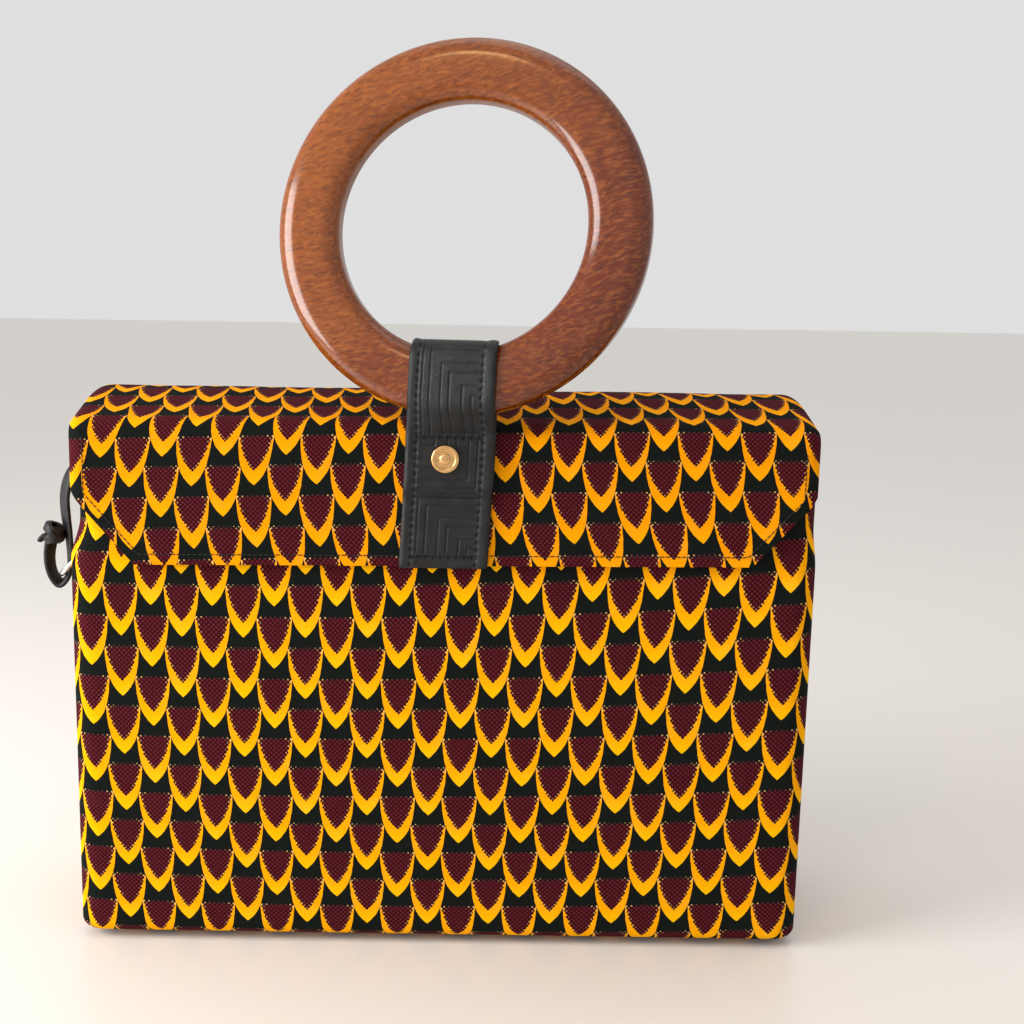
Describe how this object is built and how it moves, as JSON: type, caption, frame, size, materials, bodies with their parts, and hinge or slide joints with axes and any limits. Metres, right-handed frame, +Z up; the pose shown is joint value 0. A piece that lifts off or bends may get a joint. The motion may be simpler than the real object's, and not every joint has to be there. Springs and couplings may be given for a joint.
{
  "type": "handbag",
  "caption": "Small stiff fabric box handbag with an arched flap top, a fish-scale print, a turning round wooden handle held by a leather strap, and small domed feet.",
  "frame": {"origin": "middle of the floor area that the whole bag covers, at floor level", "axes": "+Z up, the front with the handle strap faces -Y, +X to the right in the picture"},
  "size_m": [0.3282, 0.1113, 0.3733],
  "materials": {
    "print_cloth": "matt printed cotton",
    "black_leather": "semi-matt embossed",
    "wood": "varnished",
    "gold_metal": "polished pale gold",
    "silver_metal": "polished"
  },
  "bodies": {
    "bag": {"box": "print_cloth", "flap": "print_cloth", "handle_strap": "black_leather", "stud": "gold_metal", "foot_front_left": "gold_metal", "foot_front_right": "gold_metal", "foot_back_left": "gold_metal", "foot_back_right": "gold_metal", "side_d_ring": "silver_metal", "side_tab": "black_leather", "side_tie": "black_leather"},
    "ring": {"ring_handle": "wood"}
  },
  "joints": [
    {"name": "ring_turn", "type": "hinge", "parent": "bag", "child": "ring", "pos_m": [0.0169, -0.02788, 0.29953], "axis": [-0.205, -0.9561, 0.2096], "continuous": true}
  ]
}
